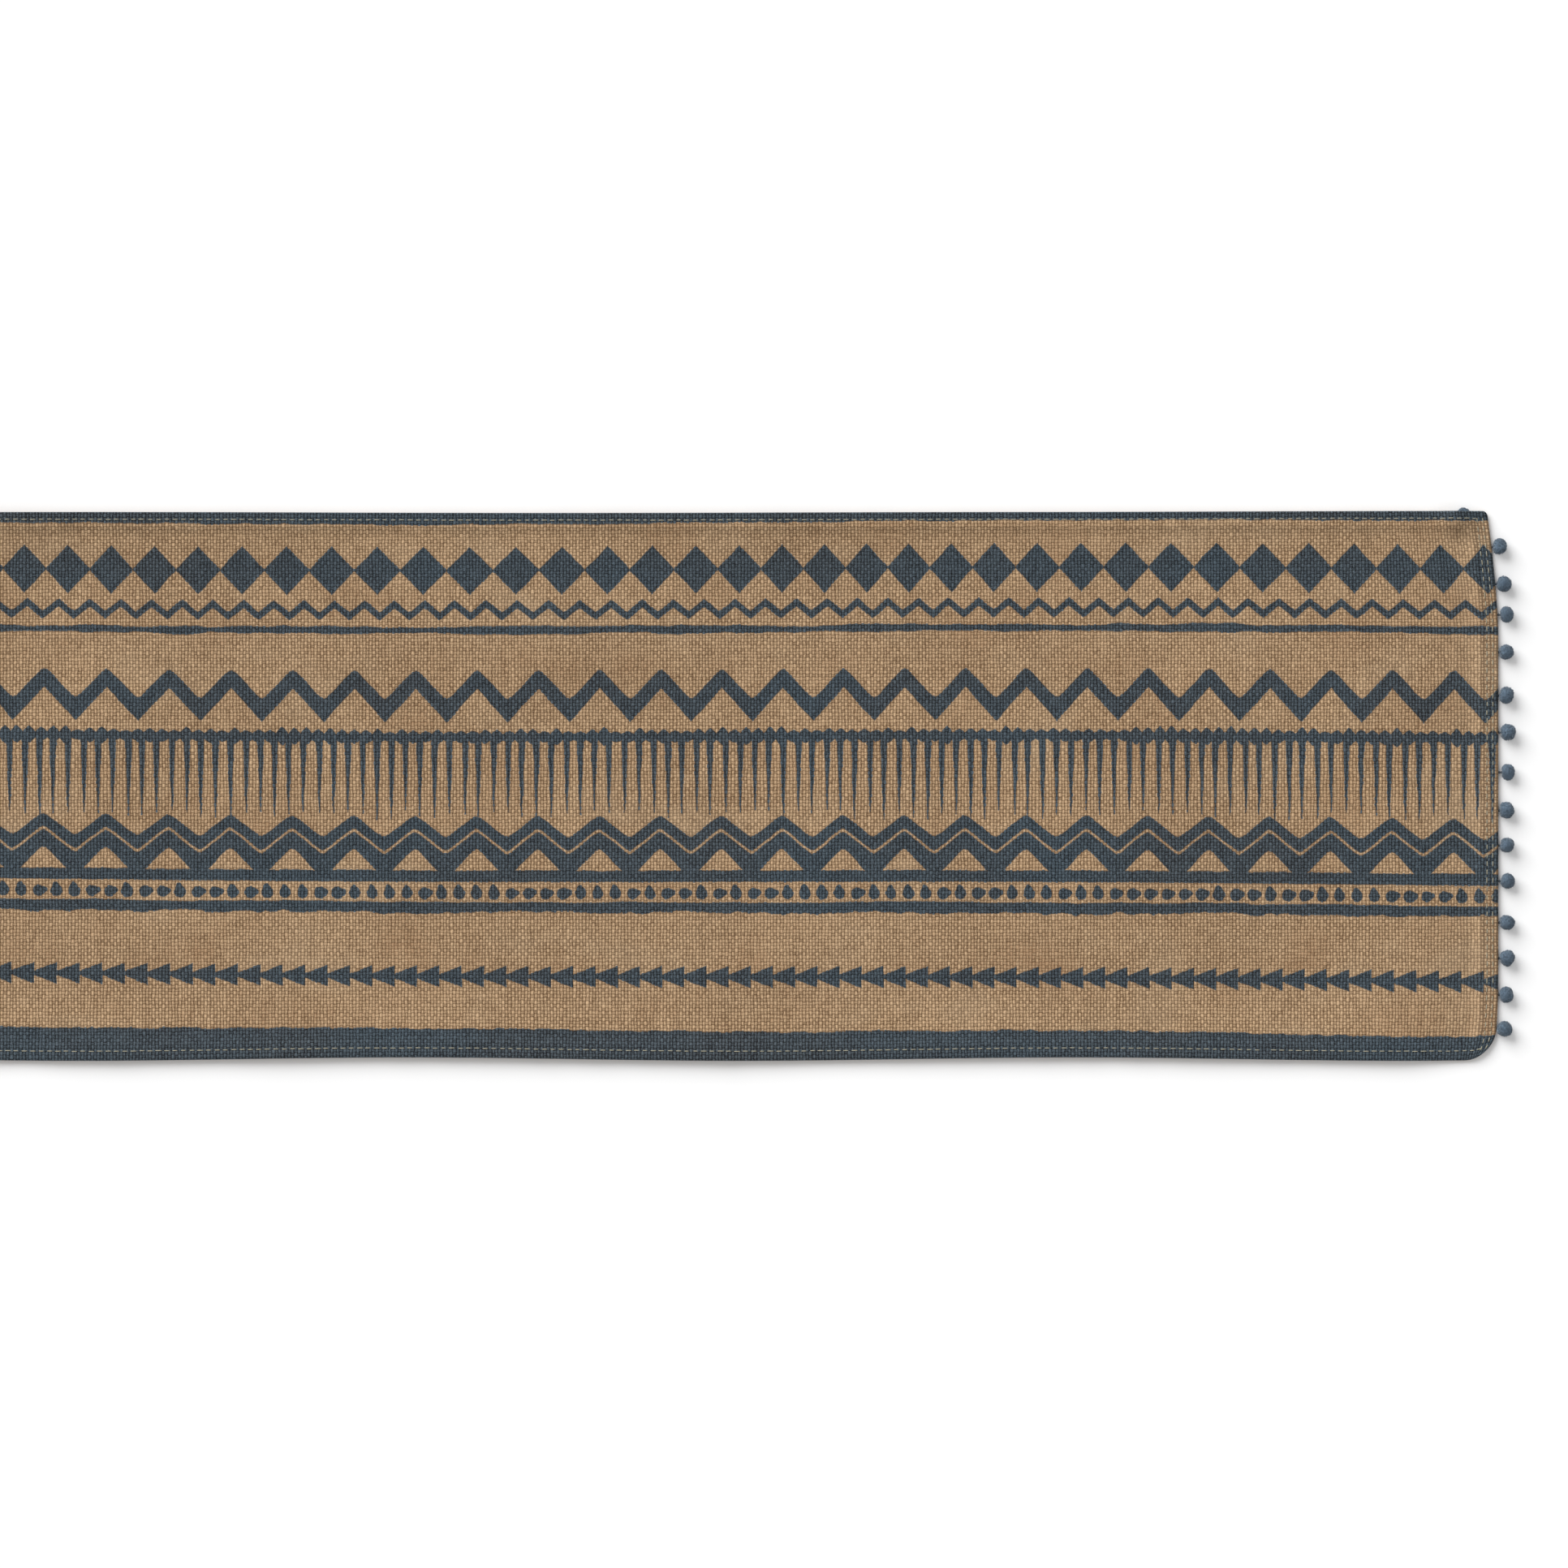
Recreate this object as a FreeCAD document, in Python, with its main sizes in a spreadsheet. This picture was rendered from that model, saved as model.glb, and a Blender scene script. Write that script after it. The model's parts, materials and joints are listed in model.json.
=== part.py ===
"""A fringed cloth table runner, laid flat, as a parametric assembly.

+X runs along the runner, +Y across it, +Z up.  The origin is the middle of the
face that the runner rests on.  Lengths are millimetres.

The runner is one hemmed strip of jute cloth.  Each end is a flap that folds over
the middle, so the strip is built as a centre panel and two end panels with a fold
line between them.  A tape under each end hem carries fifteen yarn pompoms, and
each pompom swings on its own neck.
"""
import FreeCAD
import Part
import math
import os
import Sketcher

V = FreeCAD.Vector

# Driving dimensions, one spreadsheet row each.
DIMENSIONS = {
    "runner_length": 1828.8,    # hem to hem, without the pompoms
    "runner_width": 355.6,      # over both side hems
    "end_flap_length": 152.4,   # from the fold line to the end of the cloth
    "fold_gap": 0.3,            # clearance between panels at the fold line
    "cloth_thickness": 0.8,     # one layer of jute cloth
    "side_hem_width": 10.0,     # along the two long edges
    "end_hem_width": 12.0,      # across the two ends
    "seam_inset": 5.0,          # side seam, from the long edge
    "outer_row_inset": 3.6,     # outer end seam, from the end of the cloth
    "inner_row_inset": 7.4,     # inner end seam, from the end of the cloth
    "thread_width": 0.6,
    "thread_height": 0.3,
    "tape_width": 12.0,
    "tape_thickness": 0.5,
    "ball_radius": 5.25,
    "neck_radius": 0.8,
    "neck_clearance": 0.3,      # from the hem to the round end of a neck
    "ball_overhang": 7.0,       # centre of a ball, beyond the edge of the cloth
    "pompom_pitch": 24.1,       # along the end of the cloth
    "first_pompom": 154.0,      # first ball of the row, from the centre line
    "tucked_pompom": 21.6,      # ball at the corner, back from the end of the cloth
}

# The trim is sewn on by hand, so its balls wander from an even pitch.
POMPOM_WANDER = (0.1, 0.0, 4.1, 3.9, 0.1, 0.0, -1.8, -2.4, -1.0, -0.1, -2.9, -1.9, -1.5, 0.4)

HALF_LENGTH = "Dimensions.runner_length / 2"
HALF_WIDTH = "Dimensions.runner_width / 2"
HALF_INNER_WIDTH = "(Dimensions.runner_width / 2 - Dimensions.side_hem_width)"
FOLD_X = "(Dimensions.runner_length / 2 - Dimensions.end_flap_length)"
CENTRE_LENGTH = f"(2 * {FOLD_X} - Dimensions.fold_gap)"
FLAP_LENGTH = "(Dimensions.end_flap_length - Dimensions.fold_gap / 2)"
HEM_HEIGHT = "3 * Dimensions.cloth_thickness"

doc = FreeCAD.newDocument("TableRunner")
sheet = doc.addObject("Spreadsheet::Sheet", "Dimensions")
for row, (alias, value) in enumerate(DIMENSIONS.items(), start=1):
    sheet.set(f"A{row}", alias)
    sheet.set(f"B{row}", str(value))
    sheet.setAlias(f"B{row}", alias)
doc.recompute()

sub_parts = []


def place(piece, x="0", y="0", z="0", turn=0.0):
    """Bind a sub-part's position to the sheet and turn it about +Z."""
    piece.Placement = FreeCAD.Placement(V(0, 0, 0), FreeCAD.Rotation(V(0, 0, 1), turn))
    for axis, formula in (("x", x), ("y", y), ("z", z)):
        piece.setExpression(f"Placement.Base.{axis}", formula)
    sub_parts.append(piece)


def new_body(label):
    body = doc.addObject("PartDesign::Body", label)
    body.Label = label
    return body


def new_sketch(body, role):
    """A sketch on one of the body's own origin planes."""
    plane = next(p for p in body.Origin.OriginFeatures if p.Role == role)
    sketch = body.newObject("Sketcher::SketchObject", body.Name + "_sketch")
    sketch.AttachmentSupport = [(plane, "")]
    sketch.MapMode = "FlatFace"
    return sketch


def constrain(sketch, kind, *where):
    return sketch.addConstraint(Sketcher.Constraint(kind, *where))


def drive(sketch, name, formula, kind, *where):
    """A named dimension of a sketch, bound to the sheet."""
    index = constrain(sketch, kind, *where, 1.0)
    sketch.renameConstraint(index, name)
    sketch.setExpression(f"Constraints.{name}", formula)


def extrude(body, sketch, length):
    pad = body.newObject("PartDesign::Pad", body.Name + "_pad")
    pad.Profile = sketch
    pad.setExpression("Length", length)
    return pad


def cloth_panel(label, length, x):
    """A rectangle of single cloth between the hems; x is its lower end."""
    body = new_body(label)
    sketch = new_sketch(body, "XY_Plane")
    corners = (V(0, -50, 0), V(100, -50, 0), V(100, 50, 0), V(0, 50, 0))
    for index, corner in enumerate(corners):
        sketch.addGeometry(Part.LineSegment(corner, corners[(index + 1) % 4]))
    for index in range(4):
        constrain(sketch, "Coincident", index, 2, (index + 1) % 4, 1)
    constrain(sketch, "Horizontal", 0)
    constrain(sketch, "Vertical", 1)
    constrain(sketch, "Horizontal", 2)
    constrain(sketch, "PointOnObject", 3, 2, -2)
    constrain(sketch, "Symmetric", 3, 1, 3, 2, -1)
    drive(sketch, "length", length, "DistanceX", 0, 1, 0, 2)
    drive(sketch, "width", f"2 * {HALF_INNER_WIDTH}", "DistanceY", 1, 1, 1, 2)
    extrude(body, sketch, "Dimensions.cloth_thickness")
    place(body, x=x)


def hem(label, width, length, x, y, z="0", turn=0.0):
    """Cloth folded twice: a flat strip, three layers thick, with a round outer fold."""
    body = new_body(label)
    sketch = new_sketch(body, "YZ_Plane")
    half_turn = math.pi / 2
    sketch.addGeometry(Part.LineSegment(V(0, 0, 0), V(9, 0, 0)))
    sketch.addGeometry(Part.ArcOfCircle(Part.Circle(V(9, 1, 0), V(0, 0, 1), 1), -half_turn, half_turn))
    sketch.addGeometry(Part.LineSegment(V(9, 2, 0), V(0, 2, 0)))
    sketch.addGeometry(Part.LineSegment(V(0, 2, 0), V(0, 0, 0)))
    constrain(sketch, "Tangent", 0, 2, 1, 1)
    constrain(sketch, "Tangent", 1, 2, 2, 1)
    constrain(sketch, "Coincident", 2, 2, 3, 1)
    constrain(sketch, "Coincident", 3, 2, 0, 1)
    constrain(sketch, "Coincident", 0, 1, -1, 1)
    constrain(sketch, "Horizontal", 0)
    constrain(sketch, "Horizontal", 2)
    constrain(sketch, "Vertical", 3)
    drive(sketch, "flat", f"{width} - {HEM_HEIGHT} / 2", "DistanceX", 0, 1, 0, 2)
    drive(sketch, "height", HEM_HEIGHT, "DistanceY", 3, 2, 3, 1)
    extrude(body, sketch, length)
    place(body, x=x, y=y, z=z, turn=turn)


def strip(label, length, width, height, x, y, z="0"):
    """A flat strip of thread or tape; x, y and z are its lowest corner."""
    box = doc.addObject("Part::Box", label)
    box.Label = label
    box.setExpression("Length", length)
    box.setExpression("Width", width)
    box.setExpression("Height", height)
    place(box, x=x, y=y, z=z)


def pompom(label, pivot_x, pivot_y, turn):
    """A yarn ball turned in one piece with its neck.

    The neck's round end is centred on the pivot, so it turns there without
    nearing the hem.  The neck slopes up until the ball rests on the table.
    """
    body = new_body(label)
    sketch = new_sketch(body, "XY_Plane")
    quarter = math.pi / 2
    joint = math.pi - 0.15
    sketch.addGeometry(Part.ArcOfCircle(Part.Circle(V(0, 0, 0), V(0, 0, 1), 0.8), quarter, 2 * quarter))
    sketch.addGeometry(Part.LineSegment(V(0, 0.8, 0), V(2, 0.8, 0)))
    sketch.addGeometry(Part.ArcOfCircle(Part.Circle(V(7.2, 0, 0), V(0, 0, 1), 5.25), 0, joint))
    sketch.addGeometry(Part.LineSegment(V(12.45, 0, 0), V(-0.8, 0, 0)))
    constrain(sketch, "Coincident", 0, 3, -1, 1)
    constrain(sketch, "Coincident", 0, 1, 1, 1)
    constrain(sketch, "Vertical", 0, 3, 0, 1)
    constrain(sketch, "Horizontal", 1)
    constrain(sketch, "Coincident", 1, 2, 2, 2)
    constrain(sketch, "PointOnObject", 2, 3, -1)
    constrain(sketch, "Coincident", 2, 1, 3, 1)
    constrain(sketch, "Coincident", 3, 2, 0, 2)
    constrain(sketch, "PointOnObject", 2, 1, -1)
    constrain(sketch, "PointOnObject", 0, 2, -1)
    drive(sketch, "neck", "Dimensions.neck_radius", "Radius", 0)
    drive(sketch, "ball", "Dimensions.ball_radius", "Radius", 2)
    drive(sketch, "reach", "hypot(Dimensions.ball_overhang - Dimensions.neck_clearance"
          " - Dimensions.neck_radius; Dimensions.ball_radius - Dimensions.neck_radius"
          " - Dimensions.neck_clearance)", "DistanceX", 0, 3, 2, 3)
    spin = body.newObject("PartDesign::Revolution", label + "_turned")
    spin.Profile = sketch
    spin.ReferenceAxis = (sketch, ["H_Axis"])
    spin.Angle = 360
    pivot_height = sheet.neck_radius + sheet.neck_clearance
    across = sheet.ball_overhang - sheet.neck_clearance - sheet.neck_radius
    slope = math.degrees(math.atan2(sheet.ball_radius - pivot_height, across))
    place(body, x=pivot_x, y=pivot_y, z="Dimensions.neck_radius + Dimensions.neck_clearance")
    body.Placement.Rotation = (FreeCAD.Rotation(V(0, 0, 1), turn)
                               * FreeCAD.Rotation(V(0, 1, 0), -slope))


def long_edges(part_name, start, length):
    """Side hems and their seams for one panel; start is the panel's lower X end."""
    side_hem = "Dimensions.side_hem_width"
    thread_y = f"{HALF_WIDTH} - Dimensions.seam_inset"
    half_thread = "Dimensions.thread_width / 2"
    thread_size = (length, "Dimensions.thread_width", "Dimensions.thread_height")
    hem(f"hem_back_{part_name}", side_hem, length, x=start, y=HALF_INNER_WIDTH)
    hem(f"hem_front_{part_name}", side_hem, length, x=f"{start} + {length}",
        y=f"-{HALF_INNER_WIDTH}", turn=180.0)
    strip(f"seam_back_{part_name}", *thread_size, x=start,
          y=f"{thread_y} - {half_thread}", z=HEM_HEIGHT)
    strip(f"seam_front_{part_name}", *thread_size, x=start,
          y=f"-({thread_y}) - {half_thread}", z=HEM_HEIGHT)


def end_edge(part_name, side):
    """End hem, its two seams and the pompom tape; side is +1 at +X and -1 at -X."""
    inner = f"{side} * ({HALF_LENGTH} - Dimensions.end_hem_width)"
    top = f"Dimensions.tape_thickness + {HEM_HEIGHT}"
    across = f"2 * {HALF_INNER_WIDTH}"
    hem(f"hem_end_{part_name}", "Dimensions.end_hem_width", across, x=inner,
        y=f"{side} * {HALF_INNER_WIDTH}", z="Dimensions.tape_thickness", turn=-90.0 * side)
    for row_name in ("outer", "inner"):
        centre = f"{side} * ({HALF_LENGTH} - Dimensions.{row_name}_row_inset)"
        strip(f"seam_end_{row_name}_{part_name}", "Dimensions.thread_width", across,
              "Dimensions.thread_height", x=f"{centre} - Dimensions.thread_width / 2",
              y=f"-{HALF_INNER_WIDTH}", z=top)
    tape_low = "Dimensions.tape_width" if side > 0 else "0"
    strip(f"pompom_tape_{part_name}", "Dimensions.tape_width", across,
          "Dimensions.tape_thickness", x=f"{side} * {HALF_LENGTH} - {tape_low}",
          y=f"-{HALF_INNER_WIDTH}")


def pompom_row(part_name, side):
    """Fifteen pompoms: one held at the corner, then fourteen that swing along the end."""
    stand_off = "Dimensions.neck_radius + Dimensions.neck_clearance"
    pompom(f"pompom_{part_name}_01",
           f"{side} * ({HALF_LENGTH} - Dimensions.tucked_pompom)",
           f"{side} * ({HALF_WIDTH} + Dimensions.neck_radius)", 90.0 * side)
    for index, wander in enumerate(POMPOM_WANDER):
        along = f"Dimensions.first_pompom - {index} * Dimensions.pompom_pitch + {wander}"
        pompom(f"pompom_{part_name}_{index + 2:02d}",
               f"{side} * ({HALF_LENGTH} + {stand_off})",
               f"{side} * ({along})", 90.0 - 90.0 * side)


cloth_panel("cloth_centre", CENTRE_LENGTH, x=f"-{CENTRE_LENGTH} / 2")
long_edges("centre", f"(-{CENTRE_LENGTH} / 2)", CENTRE_LENGTH)
for part_name, side in (("right", 1), ("left", -1)):
    cloth_length = f"({FLAP_LENGTH} - Dimensions.end_hem_width)"
    hinge_edge = f"({FOLD_X} + Dimensions.fold_gap / 2)"
    far_edge = f"({HALF_LENGTH} - Dimensions.end_hem_width)"
    cloth_panel(f"cloth_{part_name}", cloth_length, x=hinge_edge if side > 0 else f"-{far_edge}")
    long_edges(part_name, hinge_edge if side > 0 else f"(-{HALF_LENGTH})", FLAP_LENGTH)
    end_edge(part_name, side)
    pompom_row(part_name, side)

doc.recompute()

for item in doc.Objects:
    if "Invalid" in item.State or "Error" in item.State:
        raise RuntimeError(f"{item.Label} did not rebuild: {item.State}")
for piece in sub_parts:
    if piece.Shape.isNull() or not piece.Shape.isValid():
        raise RuntimeError(f"{piece.Label} has no valid shape")

os.makedirs("parts", exist_ok=True)
for piece in sub_parts:
    piece.Shape.exportStep(f"parts/{piece.Label}.step")
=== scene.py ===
"""Looks for the table runner: printed jute cloth, stitched hems and yarn pompoms.

Lengths are metres.  +X runs along the runner, +Y across it and +Z up.  A point of
the cloth is named by (u, v), its place along and across the flat cut cloth.
"""
import bpy
import json
import math
import numpy as np
from mathutils import Matrix, Vector


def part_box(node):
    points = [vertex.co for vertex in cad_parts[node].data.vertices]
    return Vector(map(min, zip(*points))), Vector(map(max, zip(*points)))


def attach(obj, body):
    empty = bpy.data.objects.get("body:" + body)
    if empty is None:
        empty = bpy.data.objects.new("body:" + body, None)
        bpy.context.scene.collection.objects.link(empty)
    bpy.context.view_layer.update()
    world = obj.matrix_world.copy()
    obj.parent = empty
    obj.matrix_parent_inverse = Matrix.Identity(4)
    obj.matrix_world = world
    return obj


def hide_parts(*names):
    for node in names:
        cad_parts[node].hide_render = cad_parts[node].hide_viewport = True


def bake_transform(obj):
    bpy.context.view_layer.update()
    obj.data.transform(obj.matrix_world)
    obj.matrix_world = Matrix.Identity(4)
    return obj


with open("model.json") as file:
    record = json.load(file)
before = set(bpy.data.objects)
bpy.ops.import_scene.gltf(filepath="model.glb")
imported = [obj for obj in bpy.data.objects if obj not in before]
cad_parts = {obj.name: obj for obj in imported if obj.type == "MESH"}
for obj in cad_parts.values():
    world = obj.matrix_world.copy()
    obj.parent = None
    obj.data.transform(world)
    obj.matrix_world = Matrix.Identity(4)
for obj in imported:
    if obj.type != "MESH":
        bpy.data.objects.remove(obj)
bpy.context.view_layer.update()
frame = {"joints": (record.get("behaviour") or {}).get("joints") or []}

MM = 0.001


def box_of(node):
    low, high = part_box(node)
    return Vector(low), Vector(high)


# ------------------------------------------------------------------ sizes
HALF_LENGTH = box_of("hem_end_right")[1].x
HALF_WIDTH = box_of("hem_back_centre")[1].y
CLOTH = box_of("cloth_centre")[1].z
HEM_HEIGHT = box_of("hem_back_centre")[1].z
SIDE_HEM = HALF_WIDTH - box_of("hem_back_centre")[0].y
END_HEM = HALF_LENGTH - box_of("hem_end_right")[0].x
TAPE = box_of("pompom_tape_right")[1].z
FOLD_X = next(j["pos_m"][0] for j in frame["joints"] if j["name"] == "end_fold_right")
FOLD_BEND = 28 * MM             # cloth that curves when an end is folded over
STITCH_PITCH = 5.44 * MM
STITCH_LENGTH = 3.9 * MM
BACK_SEAM = 4.8 * MM            # from the long edge to the seam
FRONT_SEAM = 6.2 * MM
END_SEAM_INSETS = (3.6 * MM, 7.4 * MM)
YARN_PITCH = 2.1 * MM
FOLD_RADIUS = HEM_HEIGHT / 2    # round outer fold of a hem
FULL_TURN = 2 * math.pi


def smooth(x, low, high):
    """0 below low, 1 above high, smooth between."""
    t = np.clip((x - low) / (high - low), 0, 1)
    return t * t * (3 - 2 * t)


# ------------------------------------------------------------------ shape of the cloth
def ripple_set(seed, count, longest, shortest):
    """Random plane waves: direction and wavelength, phase and height."""
    rng = np.random.default_rng(seed)
    length = np.exp(rng.uniform(np.log(shortest), np.log(longest), count))
    angle = rng.uniform(0, math.pi, count)
    phase = rng.uniform(0, 2 * math.pi, count)
    wave = 2 * math.pi / length
    return wave * np.cos(angle), wave * np.sin(angle), phase, (length / longest) ** 0.9


SWELLS = ripple_set(11, 14, 0.52, 0.09)
CRINKLES = ripple_set(23, 16, 0.06, 0.018)
SWELL_MIDDLE = 1.25 * MM        # the cloth stands this high off the table on average
SWELL_HEIGHT = 1.15 * MM
CRINKLE_HEIGHT = 0.16 * MM
EDGE_RISE = 1.6 * MM            # the long edges stand up this much more
LEAST_LIFT = 0.05 * MM
END_PRESSED = 0.88              # how much of all that the heavy end hem presses flat


def ripple(waves, u, v):
    """Sum of the plane waves, about -1 to 1."""
    total = 0.0
    for along, across, phase, height in zip(*waves):
        total = total + height * np.sin(along * u + across * v + phase)
    return total / (0.6 * np.sqrt((waves[3] ** 2).sum()) * 2.2)


def lift(u, v):
    """How far the underside of the cloth stands off the table."""
    swell = SWELL_MIDDLE + SWELL_HEIGHT * ripple(SWELLS, u, v)
    crinkle = CRINKLE_HEIGHT * ripple(CRINKLES, u, v)
    edge = smooth(np.abs(v), HALF_WIDTH - 50 * MM, HALF_WIDTH)
    pressed = 1 - END_PRESSED * smooth(np.abs(u), HALF_LENGTH - 70 * MM, HALF_LENGTH - END_HEM)
    return np.maximum((swell + crinkle + EDGE_RISE * edge) * pressed, LEAST_LIFT)


def bump(x, centre, width):
    """1 at the centre, fading to 0 within about two widths on each side."""
    return np.exp(-((x - centre) / width) ** 2)


TUCKED_FROM_END = 21.6 * MM     # from the end of the cloth to the tucked pompom
TUCKED_RISE = 6.0 * MM


def tucked_pompom_lift(u, v):
    """The back edge rides over the pompom that is tucked under it."""
    along = bump(np.abs(u), HALF_LENGTH - TUCKED_FROM_END, 10 * MM)
    across = smooth(v * np.sign(u), HALF_WIDTH - 20 * MM, HALF_WIDTH - 5 * MM)
    return TUCKED_RISE * (along * across)


def hem_share(u, v):
    """0 on the single cloth, 1 on a hem, for the top face."""
    side = smooth(np.abs(v), HALF_WIDTH - SIDE_HEM - 5 * MM, HALF_WIDTH - SIDE_HEM + 1.2 * MM)
    end = smooth(np.abs(u), HALF_LENGTH - END_HEM - 6 * MM, HALF_LENGTH - END_HEM + 1.2 * MM)
    return side, end


SEAM_DEPTH = 0.26 * MM


def needle_pull(along):
    """How hard the thread pulls along a seam: 1 where the needle went in, less between."""
    return 0.65 + 0.35 * np.cos(FULL_TURN * along / STITCH_PITCH)


def seam_dip(u, v):
    """The thread pulls the hem down, most where the needle went in."""
    back = bump(v, HALF_WIDTH - BACK_SEAM, MM)
    front = bump(v, FRONT_SEAM - HALF_WIDTH, MM)
    dip = np.maximum(back, front) * needle_pull(u)
    for inset in END_SEAM_INSETS:
        dip = np.maximum(dip, bump(np.abs(u), HALF_LENGTH - inset, 0.9 * MM) * needle_pull(v))
    return SEAM_DEPTH * dip


def cloth_faces(u, v):
    """Heights of the top and the underside of the cloth."""
    side, end = hem_share(u, v)
    stand = lift(u, v) + tucked_pompom_lift(u, v)
    folded = HEM_HEIGHT - CLOTH
    top = stand + CLOTH + folded * np.maximum(side, end) + TAPE * end
    on_hem = (np.abs(v) > HALF_WIDTH - SIDE_HEM) | (np.abs(u) > HALF_LENGTH - END_HEM)
    bottom = top - np.where(on_hem, HEM_HEIGHT, CLOTH)
    middle = (top + bottom) / 2
    edge = np.minimum(HALF_WIDTH - np.abs(v), HALF_LENGTH - np.abs(u))
    inward = np.clip(edge / FOLD_RADIUS, 0, 1)
    round_off = np.sqrt(np.clip(1 - (1 - inward) ** 2, 0, 1))
    top = middle + (top - middle) * round_off - seam_dip(u, v)
    bottom = middle + (bottom - middle) * round_off
    return top, bottom


# Corner radii by (side of u, side of v): the corner by the tucked pompom is sharp.
CORNERS = {(1, 1): 3 * MM, (1, -1): 19 * MM, (-1, 1): 12 * MM, (-1, -1): 3 * MM}
SLACK = 1.2 * MM                # the end hem lies this far out over the tape
BACK_BOW = 7.4 * MM             # how far an end is drawn in beside its tucked pompom
FRONT_BOW = 3.2 * MM            # and at its other corner
FRONT_WAVE = 1.1 * MM           # the front edge wanders this far to each side
BACK_WAVE = 0.3 * MM


def round_corner(u, v, side_u, side_v, radius):
    """Squeeze a square corner of the cloth into a round one."""
    a = np.clip((side_u * u - (HALF_LENGTH - radius)) / radius, 0, 1)
    b = np.clip((side_v * v - (HALF_WIDTH - radius)) / radius, 0, 1)
    move_u = a * np.sqrt(1 - b * b / 2) - a
    move_v = b * np.sqrt(1 - a * a / 2) - b
    return u + side_u * move_u * radius, v + side_v * move_v * radius


def outline(u, v):
    """Where a point of the cut cloth lies on the table, after hemming has pulled it."""
    x, y = u, v
    for (side_u, side_v), radius in CORNERS.items():
        x, y = round_corner(x, y, side_u, side_v, radius)
    near_end = smooth(np.abs(u), HALF_LENGTH - 110 * MM, HALF_LENGTH)
    turned_v = v * np.sign(u)
    drawn_in = BACK_BOW * np.clip((turned_v - 96 * MM) / (82 * MM), 0, 1) ** 1.5
    drawn_in = drawn_in + FRONT_BOW * np.clip((-turned_v - 125 * MM) / (53 * MM), 0, 1) ** 2
    x = x + np.sign(u) * near_end * (SLACK - drawn_in)
    near_front = smooth(-v, HALF_WIDTH - 55 * MM, HALF_WIDTH)
    near_back = smooth(v, HALF_WIDTH - 55 * MM, HALF_WIDTH)
    front_wave = FRONT_WAVE * np.cos(FULL_TURN * (u - 0.425) / 0.432)
    back_wave = BACK_WAVE * np.cos(FULL_TURN * u / 0.61)
    back_drawn_in = 1.6 * MM - 1.3 * MM * smooth(u, 0.60, 0.90)
    y = y - near_front * (front_wave + 0.7 * MM) + near_back * (back_wave - back_drawn_in)
    return x, y


def on_cloth(u, v, height=0.0):
    """A point on the top face of the cloth, or a little above it."""
    u, v = np.asarray(u, float), np.asarray(v, float)
    x, y = outline(u, v)
    return np.stack([x, y, cloth_faces(u, v)[0] + height], axis=-1)


# ------------------------------------------------------------------ mesh helpers
def add_object(name, vertices, faces, materials, uv=None, face_material=None, flat_faces=None):
    """A smooth mesh object; uv holds a (u, v) for each vertex, flat_faces are shaded flat."""
    mesh = bpy.data.meshes.new(name)
    mesh.from_pydata([tuple(p) for p in vertices], [], [tuple(f) for f in faces])
    for material in materials:
        mesh.materials.append(material)
    if face_material is not None:
        mesh.polygons.foreach_set("material_index", np.asarray(face_material, np.int32))
    if uv is not None:
        layer = mesh.uv_layers.new(name="cloth")
        corner = np.zeros(len(mesh.loops), np.int32)
        mesh.loops.foreach_get("vertex_index", corner)
        layer.data.foreach_set("uv", np.asarray(uv, np.float32)[corner].ravel())
    smoothed = np.full(len(mesh.polygons), True)
    if flat_faces is not None:
        smoothed[flat_faces] = False
    mesh.polygons.foreach_set("use_smooth", smoothed)
    mesh.update()
    obj = bpy.data.objects.new(name, mesh)
    bpy.context.scene.collection.objects.link(obj)
    return obj


def grid_faces(rows, columns, start=0, flip=False):
    """Quads of a grid whose vertices run along the columns first."""
    i, j = np.meshgrid(np.arange(rows - 1), np.arange(columns - 1), indexing="ij")
    a = start + i * columns + j
    quads = np.stack([a, a + columns, a + columns + 1, a + 1], axis=-1).reshape(-1, 4)
    return quads[:, ::-1] if flip else quads


def tube_faces(base, sections, ring):
    """Faces of a tube, closed at its ends, whose rings of vertices start at base."""
    faces = []
    for section in range(sections - 1):
        for k in range(ring):
            a = base + section * ring + k
            b = base + section * ring + (k + 1) % ring
            faces.append((a, b, b + ring, a + ring))
    faces.append(tuple(base + k for k in reversed(range(ring))))
    faces.append(tuple(base + (sections - 1) * ring + k for k in range(ring)))
    return faces


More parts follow.
